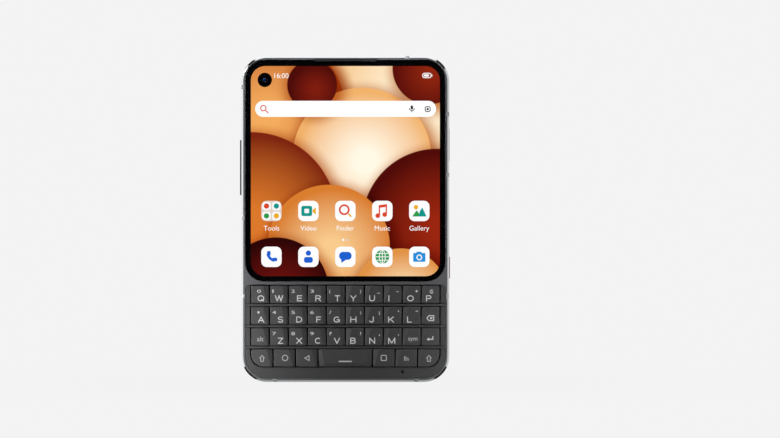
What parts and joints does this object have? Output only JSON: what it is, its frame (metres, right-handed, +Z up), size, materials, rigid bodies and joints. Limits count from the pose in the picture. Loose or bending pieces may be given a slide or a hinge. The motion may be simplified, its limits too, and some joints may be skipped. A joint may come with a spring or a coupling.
{
  "type": "qwerty smartphone",
  "caption": "Bar-shaped smartphone with a nearly square touch screen above a thumb keyboard of separate sprung keys, with side keys, a card tray and a rear camera window.",
  "frame": {"origin": "middle of the bottom edge, under the middle of the whole box", "axes": "+Z up the phone from the keyboard to the earpiece, +X to the right of someone who looks at the screen, -Y out of the screen"},
  "size_m": [0.076, 0.0116, 0.1176],
  "materials": {
    "frame_aluminium": "bead-blasted dark anodised, polished chamfers",
    "antenna_plastic": "moulded, satin",
    "cover_plastic": "satin paint on plastic",
    "window_glass": "polished, black printed behind",
    "camera_black": "moulded black",
    "flash_lens": "clear lens over a cream phosphor",
    "cover_glass": "polished",
    "screen": "lit display",
    "speaker_mesh": "fine dark mesh",
    "panel_plastic": "moulded, fine grain",
    "fret_metal": "dark anodised",
    "key_plastic": "moulded, satin, white printed legends",
    "circuit_board": "solder mask",
    "battery_foil": "black wrapped pouch",
    "socket_steel": "plated",
    "side_key_metal": "dark anodised",
    "red_metal": "red anodised",
    "legend_ink": "white print"
  },
  "bodies": {
    "phone": {"mid_frame": "frame_aluminium", "antenna_inserts": "antenna_plastic", "rear_cover": "cover_plastic", "camera_glass": "window_glass", "rear_cameras": "camera_black", "flash_led": "flash_lens", "front_glass": "cover_glass", "display_panel": "screen", "front_camera": "camera_black", "earpiece": "speaker_mesh", "keyboard_bezel": "panel_plastic", "key_frets": "fret_metal", "keyboard_board": "circuit_board", "main_board": "circuit_board", "battery": "battery_foil", "usb_socket": "socket_steel", "loudspeaker": "camera_black", "side_switches": "socket_steel", "screws": "socket_steel"},
    "key_shift_left": {"key_shift_left": "key_plastic"},
    "key_home": {"key_home": "key_plastic"},
    "key_back": {"key_back": "key_plastic"},
    "key_space": {"key_space": "key_plastic"},
    "key_recents": {"key_recents": "key_plastic"},
    "key_fn": {"key_fn": "key_plastic"},
    "key_shift_right": {"key_shift_right": "key_plastic"},
    "key_alt": {"key_alt": "key_plastic"},
    "key_z": {"key_z": "key_plastic"},
    "key_x": {"key_x": "key_plastic"},
    "key_c": {"key_c": "key_plastic"},
    "key_v": {"key_v": "key_plastic"},
    "key_b": {"key_b": "key_plastic"},
    "key_n": {"key_n": "key_plastic"},
    "key_m": {"key_m": "key_plastic"},
    "key_sym": {"key_sym": "key_plastic"},
    "key_enter": {"key_enter": "key_plastic"},
    "key_a": {"key_a": "key_plastic"},
    "key_s": {"key_s": "key_plastic"},
    "key_d": {"key_d": "key_plastic"},
    "key_f": {"key_f": "key_plastic"},
    "key_g": {"key_g": "key_plastic"},
    "key_h": {"key_h": "key_plastic"},
    "key_j": {"key_j": "key_plastic"},
    "key_k": {"key_k": "key_plastic"},
    "key_l": {"key_l": "key_plastic"},
    "key_backspace": {"key_backspace": "key_plastic"},
    "key_q": {"key_q": "key_plastic"},
    "key_w": {"key_w": "key_plastic"},
    "key_e": {"key_e": "key_plastic"},
    "key_r": {"key_r": "key_plastic"},
    "key_t": {"key_t": "key_plastic"},
    "key_y": {"key_y": "key_plastic"},
    "key_u": {"key_u": "key_plastic"},
    "key_i": {"key_i": "key_plastic"},
    "key_o": {"key_o": "key_plastic"},
    "key_p": {"key_p": "key_plastic"},
    "volume_rocker": {"volume_rocker": "side_key_metal"},
    "power_button": {"power_button": "side_key_metal"},
    "shortcut_button": {"shortcut_button": "red_metal"},
    "sim_tray": {"sim_tray": "frame_aluminium"}
  },
  "joints": [
    {"name": "sim_tray_slide", "type": "slide", "parent": "phone", "child": "sim_tray", "axis": [-1, 0, 0], "range_m": [0, 0.021]},
    {"name": "volume_rocker_tilt", "type": "hinge", "parent": "phone", "child": "volume_rocker", "pos_m": [-0.0364, 0.0006, 0.0774], "axis": [0, 1, 0], "range_deg": [-1.5, 1.5], "stiffness_Nm_per_rad": 0.3},
    {"name": "power_button_press", "type": "slide", "parent": "phone", "child": "power_button", "axis": [-1, 0, 0], "range_m": [0, 0.0003], "stiffness_N_per_m": 1500, "springref_m": -0.0002},
    {"name": "shortcut_button_press", "type": "slide", "parent": "phone", "child": "shortcut_button", "axis": [-1, 0, 0], "range_m": [0, 0.0003], "stiffness_N_per_m": 1500, "springref_m": -0.0002},
    {"name": "key_shift_left_press", "type": "slide", "parent": "phone", "child": "key_shift_left", "axis": [0, 1, 0], "range_m": [0, 0.0004], "stiffness_N_per_m": 500, "springref_m": -0.0004},
    {"name": "key_home_press", "type": "slide", "parent": "phone", "child": "key_home", "axis": [0, 1, 0], "range_m": [0, 0.0004], "stiffness_N_per_m": 500, "springref_m": -0.0004},
    {"name": "key_back_press", "type": "slide", "parent": "phone", "child": "key_back", "axis": [0, 1, 0], "range_m": [0, 0.0004], "stiffness_N_per_m": 500, "springref_m": -0.0004},
    {"name": "key_space_press", "type": "slide", "parent": "phone", "child": "key_space", "axis": [0, 1, 0], "range_m": [0, 0.0004], "stiffness_N_per_m": 500, "springref_m": -0.0004},
    {"name": "key_recents_press", "type": "slide", "parent": "phone", "child": "key_recents", "axis": [0, 1, 0], "range_m": [0, 0.0004], "stiffness_N_per_m": 500, "springref_m": -0.0004},
    {"name": "key_fn_press", "type": "slide", "parent": "phone", "child": "key_fn", "axis": [0, 1, 0], "range_m": [0, 0.0004], "stiffness_N_per_m": 500, "springref_m": -0.0004},
    {"name": "key_shift_right_press", "type": "slide", "parent": "phone", "child": "key_shift_right", "axis": [0, 1, 0], "range_m": [0, 0.0004], "stiffness_N_per_m": 500, "springref_m": -0.0004},
    {"name": "key_alt_press", "type": "slide", "parent": "phone", "child": "key_alt", "axis": [0, 1, 0], "range_m": [0, 0.0004], "stiffness_N_per_m": 500, "springref_m": -0.0004},
    {"name": "key_z_press", "type": "slide", "parent": "phone", "child": "key_z", "axis": [0, 1, 0], "range_m": [0, 0.0004], "stiffness_N_per_m": 500, "springref_m": -0.0004},
    {"name": "key_x_press", "type": "slide", "parent": "phone", "child": "key_x", "axis": [0, 1, 0], "range_m": [0, 0.0004], "stiffness_N_per_m": 500, "springref_m": -0.0004},
    {"name": "key_c_press", "type": "slide", "parent": "phone", "child": "key_c", "axis": [0, 1, 0], "range_m": [0, 0.0004], "stiffness_N_per_m": 500, "springref_m": -0.0004},
    {"name": "key_v_press", "type": "slide", "parent": "phone", "child": "key_v", "axis": [0, 1, 0], "range_m": [0, 0.0004], "stiffness_N_per_m": 500, "springref_m": -0.0004},
    {"name": "key_b_press", "type": "slide", "parent": "phone", "child": "key_b", "axis": [0, 1, 0], "range_m": [0, 0.0004], "stiffness_N_per_m": 500, "springref_m": -0.0004},
    {"name": "key_n_press", "type": "slide", "parent": "phone", "child": "key_n", "axis": [0, 1, 0], "range_m": [0, 0.0004], "stiffness_N_per_m": 500, "springref_m": -0.0004},
    {"name": "key_m_press", "type": "slide", "parent": "phone", "child": "key_m", "axis": [0, 1, 0], "range_m": [0, 0.0004], "stiffness_N_per_m": 500, "springref_m": -0.0004},
    {"name": "key_sym_press", "type": "slide", "parent": "phone", "child": "key_sym", "axis": [0, 1, 0], "range_m": [0, 0.0004], "stiffness_N_per_m": 500, "springref_m": -0.0004},
    {"name": "key_enter_press", "type": "slide", "parent": "phone", "child": "key_enter", "axis": [0, 1, 0], "range_m": [0, 0.0004], "stiffness_N_per_m": 500, "springref_m": -0.0004},
    {"name": "key_a_press", "type": "slide", "parent": "phone", "child": "key_a", "axis": [0, 1, 0], "range_m": [0, 0.0004], "stiffness_N_per_m": 500, "springref_m": -0.0004},
    {"name": "key_s_press", "type": "slide", "parent": "phone", "child": "key_s", "axis": [0, 1, 0], "range_m": [0, 0.0004], "stiffness_N_per_m": 500, "springref_m": -0.0004},
    {"name": "key_d_press", "type": "slide", "parent": "phone", "child": "key_d", "axis": [0, 1, 0], "range_m": [0, 0.0004], "stiffness_N_per_m": 500, "springref_m": -0.0004},
    {"name": "key_f_press", "type": "slide", "parent": "phone", "child": "key_f", "axis": [0, 1, 0], "range_m": [0, 0.0004], "stiffness_N_per_m": 500, "springref_m": -0.0004},
    {"name": "key_g_press", "type": "slide", "parent": "phone", "child": "key_g", "axis": [0, 1, 0], "range_m": [0, 0.0004], "stiffness_N_per_m": 500, "springref_m": -0.0004},
    {"name": "key_h_press", "type": "slide", "parent": "phone", "child": "key_h", "axis": [0, 1, 0], "range_m": [0, 0.0004], "stiffness_N_per_m": 500, "springref_m": -0.0004},
    {"name": "key_j_press", "type": "slide", "parent": "phone", "child": "key_j", "axis": [0, 1, 0], "range_m": [0, 0.0004], "stiffness_N_per_m": 500, "springref_m": -0.0004},
    {"name": "key_k_press", "type": "slide", "parent": "phone", "child": "key_k", "axis": [0, 1, 0], "range_m": [0, 0.0004], "stiffness_N_per_m": 500, "springref_m": -0.0004},
    {"name": "key_l_press", "type": "slide", "parent": "phone", "child": "key_l", "axis": [0, 1, 0], "range_m": [0, 0.0004], "stiffness_N_per_m": 500, "springref_m": -0.0004},
    {"name": "key_backspace_press", "type": "slide", "parent": "phone", "child": "key_backspace", "axis": [0, 1, 0], "range_m": [0, 0.0004], "stiffness_N_per_m": 500, "springref_m": -0.0004},
    {"name": "key_q_press", "type": "slide", "parent": "phone", "child": "key_q", "axis": [0, 1, 0], "range_m": [0, 0.0004], "stiffness_N_per_m": 500, "springref_m": -0.0004},
    {"name": "key_w_press", "type": "slide", "parent": "phone", "child": "key_w", "axis": [0, 1, 0], "range_m": [0, 0.0004], "stiffness_N_per_m": 500, "springref_m": -0.0004},
    {"name": "key_e_press", "type": "slide", "parent": "phone", "child": "key_e", "axis": [0, 1, 0], "range_m": [0, 0.0004], "stiffness_N_per_m": 500, "springref_m": -0.0004},
    {"name": "key_r_press", "type": "slide", "parent": "phone", "child": "key_r", "axis": [0, 1, 0], "range_m": [0, 0.0004], "stiffness_N_per_m": 500, "springref_m": -0.0004},
    {"name": "key_t_press", "type": "slide", "parent": "phone", "child": "key_t", "axis": [0, 1, 0], "range_m": [0, 0.0004], "stiffness_N_per_m": 500, "springref_m": -0.0004},
    {"name": "key_y_press", "type": "slide", "parent": "phone", "child": "key_y", "axis": [0, 1, 0], "range_m": [0, 0.0004], "stiffness_N_per_m": 500, "springref_m": -0.0004},
    {"name": "key_u_press", "type": "slide", "parent": "phone", "child": "key_u", "axis": [0, 1, 0], "range_m": [0, 0.0004], "stiffness_N_per_m": 500, "springref_m": -0.0004},
    {"name": "key_i_press", "type": "slide", "parent": "phone", "child": "key_i", "axis": [0, 1, 0], "range_m": [0, 0.0004], "stiffness_N_per_m": 500, "springref_m": -0.0004},
    {"name": "key_o_press", "type": "slide", "parent": "phone", "child": "key_o", "axis": [0, 1, 0], "range_m": [0, 0.0004], "stiffness_N_per_m": 500, "springref_m": -0.0004},
    {"name": "key_p_press", "type": "slide", "parent": "phone", "child": "key_p", "axis": [0, 1, 0], "range_m": [0, 0.0004], "stiffness_N_per_m": 500, "springref_m": -0.0004}
  ]
}
